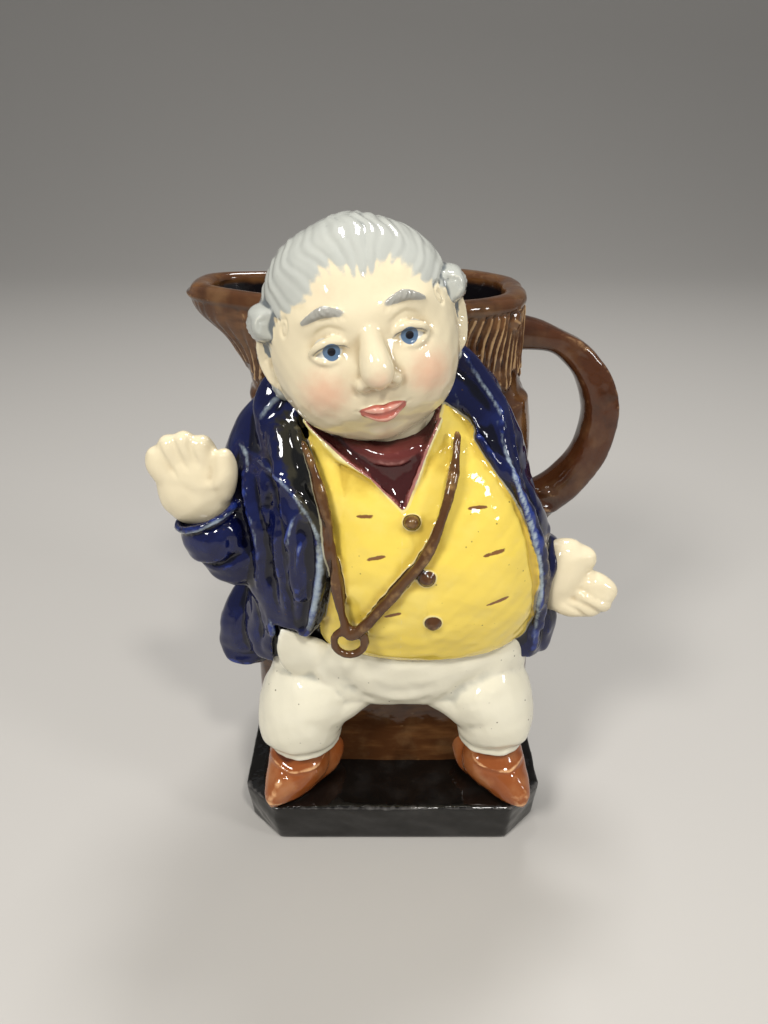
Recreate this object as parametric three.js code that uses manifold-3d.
// Toby jug: a stout gentleman in coat, waistcoat and breeches stands on a chamfered plinth in front
// of a brown pouring jug with a thatched shoulder, a spout at his right hand and a loop handle at his left.
// One slip-cast and glazed earthenware piece, hollow inside. Millimetres, +Z up, he faces -Y.
// The origin is the middle of the plinth's underside.
import * as THREE from "three";
import { mergeVertices } from "three/addons/utils/BufferGeometryUtils.js";
import Module from "manifold-3d";

const wasm = await Module();
wasm.setup();

// Driving dimensions
const WALL = 4.2; // thickness of the cast wall
const PLINTH = { halfWidth: 50.5, halfDepth: 49, height: 15.8, chamfer: 11, draft: 1.4, edge: 1.2 };
const RIM = { top: 175, lip: 6.6, lift: 1.6 }; // lip is its thickness, lift its rise at the spout
const FLOOR = 6; // top of the inside floor
const SPOUT = { reach: 23, halfAngle: 0.62 }; // reach past the side wall, angular half-width in radians
const STRANDS = { count: 20, depth: 1, low: 152, high: 170, slant: -0.012 }; // carved thatch
const HANDLE = { y: 12, flat: 1.15 }; // flat is its width over its thickness
const HEAD = { x: -8.5, y: -36.5, z: 171, lean: -10.8, turn: 8, nod: -3 }; // angles in degrees
const SKULL = [25.2, 23.8, 27.8]; // half-sizes of the head along x, y and z
const HAIR = { centre: [0, 2.5, 3.9], size: [25.8, 24.2, 26.2], locks: 14, depth: 0.9, sweep: 0.55 };

// Turns a closed geometry into a solid, facing outwards.
function solid(geometry) {
  const bare = geometry.clone();
  bare.deleteAttribute("normal");
  bare.deleteAttribute("uv");
  const merged = mergeVertices(bare, 1e-4);
  const corners = new Uint32Array(merged.index.array);
  const positions = new Float32Array(merged.attributes.position.array);
  const build = () => {
    const mesh = new wasm.Mesh({ numProp: 3, vertProperties: positions, triVerts: corners });
    return new wasm.Manifold(mesh);
  };
  const made = build();
  if (made.volume() > 0) return made;
  for (let i = 0; i < corners.length; i += 3) {
    [corners[i + 1], corners[i + 2]] = [corners[i + 2], corners[i + 1]];
  }
  return build();
}

function join(...solids) {
  return solids.flat(2).reduce((whole, next) => whole.add(next));
}

// Leaves out the pockets that overlapping forms seal inside the clay, and any loose crumb.
function largestPiece(made) {
  return made.decompose().reduce((best, next) => (next.volume() > best.volume() ? next : best));
}

// Reads a table of stations, [where, value, value, ...], at any place along it, with eased steps.
function stationAt(stations, where) {
  const last = stations.length - 1;
  if (where <= stations[0][0]) return stations[0].slice(1);
  if (where >= stations[last][0]) return stations[last].slice(1);
  const next = stations.findIndex((station) => station[0] > where);
  const span = stations[next][0] - stations[next - 1][0];
  const t = (where - stations[next - 1][0]) / span;
  const slope = (column, at) => {
    const before = stations[Math.max(at - 1, 0)];
    const after = stations[Math.min(at + 1, last)];
    return (after[column] - before[column]) / (after[0] - before[0]);
  };
  return stations[next].slice(1).map((high, i) => {
    const column = i + 1;
    const low = stations[next - 1][column];
    const rise = high * (3 * t ** 2 - 2 * t ** 3) + low * (2 * t ** 3 - 3 * t ** 2 + 1);
    const start = slope(column, next - 1) * (t ** 3 - 2 * t ** 2 + t);
    const end = slope(column, next) * (t ** 3 - t ** 2);
    return rise + span * (start + end);
  });
}

// A point of a rounded-square outline: the exponent is 2 for an ellipse and more for squarer corners.
function outlinePoint(angle, left, right, front, back, exponent) {
  const c = Math.cos(angle);
  const s = Math.sin(angle);
  const reach = (Math.abs(c) ** exponent + Math.abs(s) ** exponent) ** (-1 / exponent);
  const midX = (left + right) / 2;
  const midY = (front + back) / 2;
  return [midX + (reach * c * (right - left)) / 2, midY + (reach * s * (back - front)) / 2];
}

// A closed upright form: rounded outlines stacked at the given heights.
// levels hold [height, left, right, front, back, exponent], and carve moves a point of the skin and may
// lift it.
function stack(levels, heights, around, carve = (x, y) => [x, y]) {
  const profile = [
    new THREE.Vector2(0, heights[0]),
    ...heights.map((height) => new THREE.Vector2(1, height)),
    new THREE.Vector2(0, heights.at(-1)),
  ];
  const geometry = new THREE.LatheGeometry(profile, around);
  const position = geometry.attributes.position;
  for (let i = 0; i < position.count; i++) {
    const height = position.getY(i);
    const share = Math.hypot(position.getX(i), position.getZ(i));
    const angle = Math.atan2(position.getZ(i), position.getX(i));
    const [left, right, front, back, exponent] = stationAt(levels, height);
    const [x, y, lift = 0] = carve(...outlinePoint(angle, left, right, front, back, exponent), height, angle);
    const midX = (left + right) / 2;
    const midY = (front + back) / 2;
    position.setXYZ(i, midX + (x - midX) * share, midY + (y - midY) * share, height + lift * share);
  }
  return solid(geometry);
}

// A rounded limb: a sphere's rings strung along a curve through [x, y, z, radius] stations.
// flat squeezes the section along the direction "across", and a low blunt makes squarer ends.
function limb(stations, { around = 8, along = 7, flat = 1, across = [0, 1, 0], blunt = 0.55 } = {}) {
  const curve = new THREE.CatmullRomCurve3(stations.map(([x, y, z]) => new THREE.Vector3(x, y, z)));
  const radii = stations.map((station, i) => [i / (stations.length - 1), station[3]]);
  const geometry = new THREE.SphereGeometry(1, around, along);
  const position = geometry.attributes.position;
  const reference = new THREE.Vector3(...across).normalize();
  for (let i = 0; i < position.count; i++) {
    const share = (1 - position.getY(i)) / 2;
    const ring = Math.hypot(position.getX(i), position.getZ(i));
    const angle = Math.atan2(position.getZ(i), position.getX(i));
    const centre = curve.getPoint(share);
    const tangent = curve.getTangent(share);
    const side = new THREE.Vector3().crossVectors(tangent, reference).normalize();
    const thin = new THREE.Vector3().crossVectors(side, tangent).normalize();
    const radius = stationAt(radii, share)[0] * (ring < 1e-6 ? 0 : ring ** blunt);
    centre.addScaledVector(side, radius * Math.cos(angle));
    centre.addScaledVector(thin, radius * flat * Math.sin(angle));
    position.setXYZ(i, centre.x, centre.y, centre.z);
  }
  return solid(geometry);
}

function ball([x, y, z], [a, b, c], around = 12, rings = 8) {
  const geometry = new THREE.SphereGeometry(1, around, rings);
  geometry.rotateX(Math.PI / 2);
  geometry.scale(a, b, c);
  geometry.translate(x, y, z);
  return solid(geometry);
}

// The jug: body, thatched shoulder, rolled rim and spout
const JUG_LEVELS = [
  // height, left, right, front, back, squareness
  [10, -47.4, 47.4, -26.6, 46, 5],
  [50, -47.9, 47.9, -27, 46.5, 5],
  [92, -46.2, 46.2, -24.5, 46, 4.4],
  [126, -43.8, 43.8, -21, 45.6, 4],
  [143, -42.6, 42.6, -19.4, 45.4, 3.6],
  [145, -40, 40, -17, 43, 3.2],
  [151, -39, 39, -16, 42.4, 3],
  [152.6, -39.6, 39.6, -16.6, 43.4, 2.9],
  [169.6, -39.8, 39.8, -16.8, 44, 2.7],
  [171.2, -41, 41, -17.8, 45.6, 2.7],
  [174, -41, 41, -17.8, 45.6, 2.6],
  [RIM.top, -39.4, 39.4, -16.4, 44.2, 2.6],
];
const SPOUT_SHARE = [
  // height, share of the spout's full reach
  [134, 0],
  [141, 0.12],
  [147, 0.24],
  [155, 0.4],
  [161, 0.58],
  [166, 0.85],
  [170, 0.98],
  [RIM.top, 1],
];

function spoutPull(height, angle) {
  const fromSpout = Math.PI - Math.abs(angle);
  return stationAt(SPOUT_SHARE, height)[0] * Math.exp(-((fromSpout / SPOUT.halfAngle) ** 4));
}

function jugBody() {
  const heights = [10, 52, 92, 126, 143, 145, 151, 152.6, 158, 163, 167, 169.6, 171.2, 174, RIM.top];
  const carve = (x, y, height, angle) => {
    const inThatch = height > STRANDS.low && height < STRANDS.high;
    const wave = Math.cos(STRANDS.count * (angle + STRANDS.slant * height));
    const pull = spoutPull(height, angle);
    const strand = inThatch ? STRANDS.depth * wave * (1 - 0.7 * pull) : 0;
    const lift = height > 160 ? RIM.lift * pull : 0;
    return [x - SPOUT.reach * pull + strand * Math.cos(angle), y + strand * Math.sin(angle), lift];
  };
  const knot = ball([36.4, -5, 167.5], [3.4, 3.2, 3.4], 8, 6); // where the thatch is tied, by the handle
  return join(stack(JUG_LEVELS, heights, 3 * STRANDS.count, carve), knot);
}

function jugHollow() {
  const cornerRadius = 6; // where the inner wall turns into the floor
  const inner = JUG_LEVELS.map(([height, left, right, front, back, exponent]) => {
    const wall = height > 170 ? RIM.lip : WALL;
    return [height, left + wall, right - wall, front + wall, back - wall, exponent];
  });
  const [, left, right, front, back, exponent] = inner[0];
  inner[0][0] = FLOOR + cornerRadius;
  const sides = [left + cornerRadius, right - cornerRadius, front + cornerRadius, back - cornerRadius];
  const bottom = [FLOOR, ...sides, exponent];
  const heights = [FLOOR, FLOOR + cornerRadius, 52, 100, 140, 152, 159, 165, 171.2, RIM.top + 5];
  const carve = (x, y, height, angle) => [x - (SPOUT.reach - 1) * spoutPull(height, angle), y];
  return stack([bottom, ...inner], heights, 28, carve);
}

function plinth() {
  const { halfWidth, halfDepth, height, chamfer, draft, edge } = PLINTH;
  const corners = (inset) => {
    const w = halfWidth - inset;
    const d = halfDepth - inset;
    const cut = chamfer - inset / 2;
    return [
      [w - cut, -d], [w, -d + cut], [w, d - cut], [w - cut, d],
      [-w + cut, d], [-w, d - cut], [-w, -d + cut], [-w + cut, -d],
    ];
  };
  const rings = [[0, draft + edge], [edge, draft], [height - edge, 0], [height, edge]];
  const points = rings.flatMap(([z, inset]) => corners(inset).map(([x, y]) => [x, y, z]));
  const sides = 8;
  const faces = [];
  for (let ring = 0; ring < rings.length - 1; ring++) {
    for (let i = 0; i < sides; i++) {
      const a = ring * sides + i;
      const b = ring * sides + ((i + 1) % sides);
      faces.push([a, b, b + sides], [a, b + sides, a + sides]);
    }
  }
  const top = (rings.length - 1) * sides;
  for (let i = 1; i < sides - 1; i++) {
    faces.push([0, i + 1, i], [top, top + i, top + i + 1]);
  }
  const geometry = new THREE.BufferGeometry();
  geometry.setAttribute("position", new THREE.Float32BufferAttribute(points.flat(), 3));
  geometry.setIndex(faces.flat());
  return solid(geometry);
}

function handle() {
  // x, z, half its thickness
  const route = [
    [36, 160.5, 7], [46.6, 159.2, 5], [52.6, 157.3, 4.3], [58.5, 153.4, 4.8], [63.8, 147.9, 5.3],
    [67.4, 141, 5.8], [69, 134.1, 5.9], [68.5, 125.6, 6], [65.6, 116.6, 6], [60.7, 109.6, 6.1],
    [54.6, 103.4, 6.8], [46.6, 98, 8], [39, 94.5, 9],
  ];
  const stations = route.map(([x, z, radius]) => [x, HANDLE.y, z, radius]);
  return limb(stations, { around: 10, along: 26, flat: HANDLE.flat, blunt: 0.12 });
}

// The gentleman's clothes
const COAT_LEVELS = [
  // height, left, right, front, back, squareness
  [69, -46, 47, -45, -8, 2.8],
  [76, -46.3, 47.2, -47.4, -8, 2.8],
  [92, -45, 47, -51, -8, 2.8],
  [112, -44.5, 45.5, -53.5, -8, 2.7],
  [130, -43.5, 39.5, -51.5, -8, 2.6],
  [144, -41, 34.5, -46, -8, 2.4],
  [153, -37, 30.5, -41, -8, 2.4],
  [160, -27, 23, -36, -8, 2.3],
  [163, -18, 15, -30, -12, 2.2],
];
const WAISTCOAT_LEVELS = [
  [74, -20, 34, -44, -12, 2.2],
  [77, -25, 40, -50, -10, 2.2],
  [84, -27.5, 43, -54, -8, 2.2],
  [96, -27.5, 44, -57.5, -8, 2.2],
  [110, -27, 43, -58.5, -8, 2.2],
  [126, -26.5, 38, -55, -8, 2.2],
  [140, -25, 30, -49, -8, 2.2],
  [152, -22, 20, -43, -8, 2.2],
  [158, -14, 12, -36, -12, 2.2],
];
// Edges of the open coat down the front and along its hem, as [x, z]
const COAT_EDGE_LEFT = [
  [-28, 160], [-26, 148], [-22, 135], [-19.6, 123], [-19, 111], [-20.6, 99], [-23.6, 88], [-27.6, 85.4],
  [-36, 86.6], [-37.4, 76], [-37.4, 52],
];
const COAT_EDGE_RIGHT = [
  [60, 52], [60, 67], [46, 69], [45.4, 80], [44.5, 96], [42, 110], [37, 124], [29.5, 136], [22, 146],
  [15, 160],
];

function coatOpening() {
  const outline = [...COAT_EDGE_LEFT, ...COAT_EDGE_RIGHT].map(([x, z]) => new THREE.Vector2(x, z));
  const geometry = new THREE.ExtrudeGeometry(new THREE.Shape(outline), { depth: 50, bevelEnabled: false });
  geometry.rotateX(Math.PI / 2);
  geometry.translate(0, -38, 0);
  return solid(geometry);
}

// A strip that follows the coat's skin beside its edge, moved sideways by shift.
function coatStrip(edge, shift, radius, options) {
  const stations = edge.map(([edgeX, z]) => {
    const x = edgeX + shift;
    const [left, right, front, back, exponent] = stationAt(COAT_LEVELS, z);
    const across = Math.min(Math.abs((2 * x - left - right) / (right - left)), 0.98);
    const depth = (1 - across ** exponent) ** (1 / exponent);
    return [x, (front + back) / 2 - (depth * (back - front)) / 2, z, radius];
  });
  return limb(stations, { around: 6, along: 10, blunt: 0.35, ...options });
}

function coat() {
  const heights = [69, 76, 86, 98, 111, 124, 136, 147, 157, 163];
  const folds = (x, y, height, angle) => {
    const fold = 0.9 * Math.abs(Math.cos(angle)) ** 3 * Math.sin(height / 4.2 + 6 * angle);
    return [x + fold * Math.cos(angle), y + fold * Math.sin(angle)];
  };
  const body = stack(COAT_LEVELS, heights, 28, folds).subtract(coatOpening());
  const edges = [
    coatStrip(COAT_EDGE_LEFT.slice(1, 8), -0.6, 2.2),
    coatStrip(COAT_EDGE_RIGHT.slice(3, 9), 0, 2),
    coatStrip(COAT_EDGE_LEFT.slice(1, 6), -6, 4.6, { flat: 0.5, along: 8 }),
  ];
  const collar = [
    [
      [14, -28, 168, 3], [19, -30, 160, 5.6], [25, -33, 150, 6.2], [29.8, -38, 139, 4.8],
      [36.6, -43, 127, 2.4],
    ],
    [
      [-29, -29, 162, 3], [-33, -32, 153, 6], [-31, -38, 142, 6.4], [-27, -46, 129, 4.4],
      [-24, -50, 116, 2],
    ],
  ].map((stations) => limb(stations, { along: 8, flat: 0.6 }));
  const tails = [
    [[-39, -22, 92, 6.5], [-45.6, -26, 78, 9.6], [-48.4, -27, 61.4, 9.4]],
    [[43, -29, 90, 6], [46, -30, 79, 6], [46.4, -31, 67.4, 4.4]],
  ].map((stations) => limb(stations, { flat: 0.72, along: 6, blunt: 0.24 }));
  return join(body, edges, collar, tails);
}

function waistcoat() {
  const body = stack(WAISTCOAT_LEVELS, [74, 77, 84, 95, 107, 119, 131, 143, 158], 24);
  const neckline = [
    [[-25, -41, 150, 1.6], [-15.2, -46.6, 142, 2], [-6.7, -50, 137.6, 2], [1.6, -53, 128.6, 1.6]],
    [[12, -44.6, 151.5, 1.8], [8, -48.4, 144, 2], [5.4, -50.8, 137, 2], [2.2, -53, 128.6, 1.6]],
  ].map((stations) => limb(stations, { around: 6, along: 7 }));
  const buttons = [[4.4, -56.3, 126.3], [8.6, -58.8, 110.4], [10.6, -57.6, 95.6]];
  return join(body, neckline, buttons.map((centre) => ball(centre, [2.3, 1.7, 2.3], 6, 5)));
}

function cravat() {
  const band = limb([
    [-19, -37, 147, 4], [-10, -44, 142, 5], [-1, -46.4, 141, 5.4], [8, -44, 144.5, 5], [13.6, -36, 151, 4],
  ]);
  const fall = limb([[-4, -42.6, 146, 11], [-1.4, -47, 137.4, 8.4], [2, -51, 128, 2.4]], { flat: 0.44 });
  return join(band, fall);
}

// The ribbon that hangs from his neck, and the ring at its end
function ribbonAndRing() {
  const route = [
    [-24.5, -47, 146], [-20.4, -51.4, 136], [-18, -53.8, 124], [-16.6, -55.4, 112], [-14.4, -56.4, 96],
    [-12.6, -57, 91], [-8.4, -58, 95], [0, -59.6, 106.5], [8.4, -59.2, 118.5], [13.4, -55.6, 131.5],
    [15.8, -49.6, 141], [16.4, -45, 148],
  ];
  const ribbon = limb(route.map((point) => [...point, 1.7]), { around: 5, along: 22, blunt: 0.3 });
  const ring = new THREE.TorusGeometry(4.4, 1.3, 5, 12);
  ring.rotateX(Math.PI / 2);
  ring.translate(-12.8, -56.4, 88.4);
  return join(ribbon, solid(ring));
}

function breeches() {
  const hips = stack([
    [51, -14, 18, -38, -16, 2.2],
    [55.5, -36, 39, -44, -14, 2.2],
    [64, -39.4, 43, -47, -12, 2.3],
    [74, -36, 42, -48.5, -12, 2.3],
    [80, -31, 38, -46, -12, 2.2],
  ], [51, 54, 58, 65, 74, 80], 24);
  const rightLeg = [
    [-12, -31, 64, 12], [-25, -34, 56, 15.5], [-30, -36, 46, 14.6], [-30, -36, 38, 13.4], [-30, -37, 32, 12],
  ];
  const leftLeg = [
    [15, -31, 64, 12], [28, -34, 57, 15], [33, -36, 47, 13.4], [33, -36, 40, 12.4], [33, -37, 33.5, 11.4],
  ];
  const legs = [rightLeg, leftLeg].map((stations) => limb(stations, { around: 12, along: 8, blunt: 0.3 }));
  return join(hips, legs);
}

function shoes() {
  return join([
    [[-29, -28, 27, 10.5], [-31.5, -34, 25.5, 11.2], [-35.4, -41, 22.4, 8.4], [-41, -49.4, 18.6, 4.4]],
    [[-23, -28, 22, 6], [-29, -36, 21, 6.4], [-35.6, -44, 19.4, 5], [-41.4, -50, 18, 3.2]],
    [[32, -28, 27, 10.5], [34, -34, 25.5, 11], [38.4, -41, 22.4, 8.2], [44, -49.6, 18.6, 4.4]],
    [[27.5, -28, 22, 6], [33, -36, 21, 6.2], [39, -44, 19.4, 4.8], [44.2, -50.4, 18, 3.2]],
  ].map((stations) => limb(stations, { around: 9, along: 7 })));
}

// The right arm is raised with an open palm, and the left one is held low and out
function rightArm() {
  const upperArm = [[-32, -24, 153, 7], [-38, -26, 139, 9.6], [-43, -30, 116, 11], [-46.5, -34, 100, 10.4]];
  const forearm = [
    [-38, -31, 100, 7], [-44.6, -34, 104, 9.8], [-50.2, -36.6, 111, 9.4], [-53.4, -38, 119, 8.6],
  ];
  const cuff = [[-49.4, -36.6, 107.5, 9], [-51.8, -37.4, 114, 10], [-53.4, -38, 120.6, 9.6]];
  const sleeve = [
    limb(upperArm),
    limb(forearm, { blunt: 0.35 }),
    limb(cuff, { around: 12, along: 5, blunt: 0.25 }),
  ];
  const palm = limb([[-54, -38, 117, 8], [-56, -38, 126, 10.8], [-57, -38.4, 139, 11.2]], { flat: 0.5 });
  const fingers = [
    [[-49.8, -38.4, 124, 4.4], [-47.6, -39.4, 133, 4.2], [-46.6, -40.6, 140.8, 3.2]],
    [[-53, -37.8, 131, 4], [-53, -38.2, 138.6, 3.9], [-53.2, -39.8, 144.4, 3]],
    [[-56.6, -37.8, 132, 4], [-57.4, -38.2, 139.6, 3.9], [-57.6, -40, 145.6, 3]],
    [[-60, -37.8, 132, 4], [-61.8, -38.2, 138.6, 3.9], [-62.4, -39.8, 144.6, 3]],
    [[-62.5, -38, 129, 4], [-65.4, -38.4, 135.6, 3.9], [-66.6, -39.8, 141, 3]],
  ].map((stations) => limb(stations, { around: 6, along: 5 }));
  return join(sleeve, palm, fingers);
}

function leftArm() {
  const upperArm = [[23, -24, 151, 6.5], [27, -25, 138, 8.2], [33.5, -27, 121, 9.2], [40, -29, 102, 10.4]];
  const cuff = [[36, -29, 100, 9], [42, -30, 97, 12.4], [48.4, -31, 95.6, 13]];
  const sleeve = [limb(upperArm), limb(cuff, { around: 12, along: 6, blunt: 0.28 })];
  const palmStations = [[44, -31, 96, 9], [52, -32, 95.6, 12.6], [60, -33, 93, 10.4]];
  const palm = limb(palmStations, { flat: 0.56, blunt: 0.4 });
  const fingers = [
    [[49, -33, 101.6, 5.8], [56, -35, 104, 5], [63.2, -36, 104, 3.8]],
    [[57, -34.6, 95.4, 4.4], [63.6, -36.4, 92.8, 4], [69.4, -37, 89.4, 3.2]],
    [[56, -36, 90.6, 4.2], [62, -38, 88.6, 3.9], [67.6, -38, 86, 3.2]],
    [[54.6, -36, 87, 4], [60, -37.6, 85.4, 3.7], [64.8, -37, 83.4, 3.2]],
    [[50.6, -35, 86.6, 4], [55, -37, 85.2, 3.6], [59.6, -36.6, 83, 3]],
  ].map((stations) => limb(stations, { around: 6, along: 5 }));
  return join(sleeve, palm, fingers);
}

// Soft dabs that shape the face, mirrored where x isn't 0. The head is modelled about its own centre.
const FACE_DABS = [
  // x, z, half-width, half-height, rise
  [9.4, 9.4, 7.5, 2.8, 1.2], // brow
  [9.2, 2.6, 5.4, 3.4, -2.2], // eye socket
  [13, -8.6, 7.5, 6.6, 2.4], // cheek
  [14, -18, 8, 6.4, 2.2], // jowl
  [0, -14.6, 6.5, 3.6, 1.9], // mouth
  [0, -19.2, 5, 1.4, -0.8], // hollow under the lip
  [0, -23, 6, 4, 2.8], // chin
];

function faceRise(x, z) {
  const dab = ([centreX, centreZ, halfWidth, halfHeight, rise], side) =>
    rise * Math.exp(-(((x - side * centreX) / halfWidth) ** 2) - ((z - centreZ) / halfHeight) ** 2);
  return FACE_DABS.reduce((sum, each) => sum + dab(each, 1) + (each[0] ? dab(each, -1) : 0), 0);
}

// A sphere whose mesh is closest at the face, fuller at the jaw, and pushed out and in by the dabs.
function skull() {
  const geometry = new THREE.SphereGeometry(1, 24, 15);
  const position = geometry.attributes.position;
  for (let i = 0; i < position.count; i++) {
    const up = position.getY(i);
    const ring = Math.hypot(position.getX(i), position.getZ(i));
    const turn = Math.atan2(position.getX(i), position.getZ(i)) / Math.PI;
    const angle = Math.PI * Math.sign(turn) * Math.abs(turn) ** 1.5;
    const full = up < 0 ? 1 + up ** 2 * (0.1 + 0.2 * up) : 1;
    const [x, y] = [ring * Math.sin(angle) * SKULL[0] * full, -ring * Math.cos(angle) * SKULL[1] * full];
    const z = up * SKULL[2];
    const rise = y < 0 ? faceRise(x, z) * Math.min(1, (-2 * y) / SKULL[1]) : 0;
    position.setXYZ(i, x * (1 + rise / SKULL[0]), y * (1 + rise / SKULL[1]), z + 0.3 * up * rise);
  }
  return solid(geometry);
}

// Hair combed back from the brow in locks: a shell whose mesh runs from the face to the nape
function combedHair() {
  const geometry = new THREE.SphereGeometry(1, 2 * HAIR.locks, 8);
  const position = geometry.attributes.position;
  for (let i = 0; i < position.count; i++) {
    const forward = position.getY(i);
    const ring = Math.hypot(position.getX(i), position.getZ(i));
    const base = Math.atan2(position.getX(i), position.getZ(i));
    const lock = HAIR.depth * Math.cos(HAIR.locks * base) * Math.sqrt(ring);
    const angle = base + HAIR.sweep * Math.sin(base) * forward;
    const unit = [ring * Math.sin(angle), -forward, ring * Math.cos(angle)];
    const place = unit.map((value, axis) => HAIR.centre[axis] + value * (HAIR.size[axis] + lock));
    position.setXYZ(i, ...place);
  }
  return solid(geometry);
}

// Side curls, rolled in three tiers behind each temple
function sideCurls(side) {
  return [
    [[side * 22.6, -11, 9.6, 4.4], [side * 24.2, -2, 9.2, 5], [side * 22.6, 8, 8.4, 4.4]],
    [[side * 23.4, 1, 0.4, 4], [side * 23.8, 7, -0.6, 4.8], [side * 21.4, 15, -2, 4.4]],
    [[side * 22, 0.4, -8.4, 4], [side * 22, 7, -9.6, 4.8], [side * 18.4, 14, -11, 4.4]],
  ].map((stations) => limb(stations, { along: 5, blunt: 0.2 }));
}

function head() {
  const neck = limb([[2, 4, -12, 14], [4, 6, -24, 15], [6, 8, -36, 16]], { around: 10, along: 5 });
  const nose = limb([[0, -20.6, 8, 2.2], [0, -23.4, 1, 2.7], [0, -26.4, -5.6, 3.8], [0, -22.6, -9, 2.6]]);
  const lips = [
    [[-5.4, -21.6, -14.8, 0.9], [0, -25.4, -13.7, 1.5], [5.4, -21.6, -14.8, 0.9]],
    [[-4.4, -21.8, -15.8, 0.9], [0, -25, -16.6, 1.6], [4.4, -21.8, -15.8, 0.9]],
  ].map((stations) => limb(stations, { around: 5, along: 5 }));
  const brow = [[4.4, -22, 9.8, 1.2], [9.4, -22, 11.6, 1.6], [15.2, -18, 8.4, 1]];
  const ear = [[22.4, -5, 4.6, 1.8], [25.2, -4, 2.6, 2.6], [24.8, -4, -4, 2.4], [22.2, -5, -8, 1.7]];
  const pairs = [-1, 1].map((side) => [
    ball([side * 3, -23.6, -7.2], [2.4, 2.6, 2], 6, 5), // wing of the nose
    ball([side * 9.4, -19.6, 1.8], [4.2, 2.8, 2.7], 8, 6), // eye
    ...[brow, ear].map((stations) => {
      const placed = stations.map(([x, y, z, radius]) => [side * x, y, z, radius]);
      return limb(placed, { around: 6, along: 5 });
    }),
    ...sideCurls(side),
  ]);
  const made = join(skull(), combedHair(), neck, nose, lips, pairs.flat());
  const [nod, lean, turn] = [HEAD.nod, HEAD.lean, HEAD.turn].map(THREE.MathUtils.degToRad);
  const place = new THREE.Matrix4().makeRotationFromEuler(new THREE.Euler(nod, lean, turn, "YXZ"));
  place.setPosition(HEAD.x, HEAD.y, HEAD.z);
  return made.transform(place.elements);
}

// The hollow inside his body, open to the jug
function figureHollow() {
  const wall = WALL + 2; // clear of the folds
  const sideWall = wall + 2; // clear of the coat's edges too
  const inner = COAT_LEVELS.map(([height, left, right, front, back, exponent]) => [
    height, left + sideWall, right - sideWall, front + wall, back, exponent,
  ]);
  return stack(inner, [68, 80, 96, 114, 132, 146, 154], 20);
}

function tobyJug() {
  const outside = join(
    jugBody(), plinth(), handle(), breeches(), shoes(), waistcoat(), coat(), cravat(),
    ribbonAndRing(), rightArm(), leftArm(), head(),
  );
  return largestPiece(largestPiece(outside).subtract(join(jugHollow(), figureHollow())));
}

function meshFrom(made, name, look) {
  const { vertProperties, triVerts } = made.getMesh();
  const geometry = new THREE.BufferGeometry();
  geometry.setAttribute("position", new THREE.Float32BufferAttribute(vertProperties, 3));
  geometry.setIndex(new THREE.Uint32BufferAttribute(triVerts, 1));
  geometry.computeVertexNormals();
  const mesh = new THREE.Mesh(geometry, new THREE.MeshStandardMaterial(look));
  mesh.name = name;
  return mesh;
}

const group = new THREE.Group();
group.add(meshFrom(tobyJug(), "toby_jug", { color: 0x6b4020, roughness: 0.18, metalness: 0 }));
export default group;
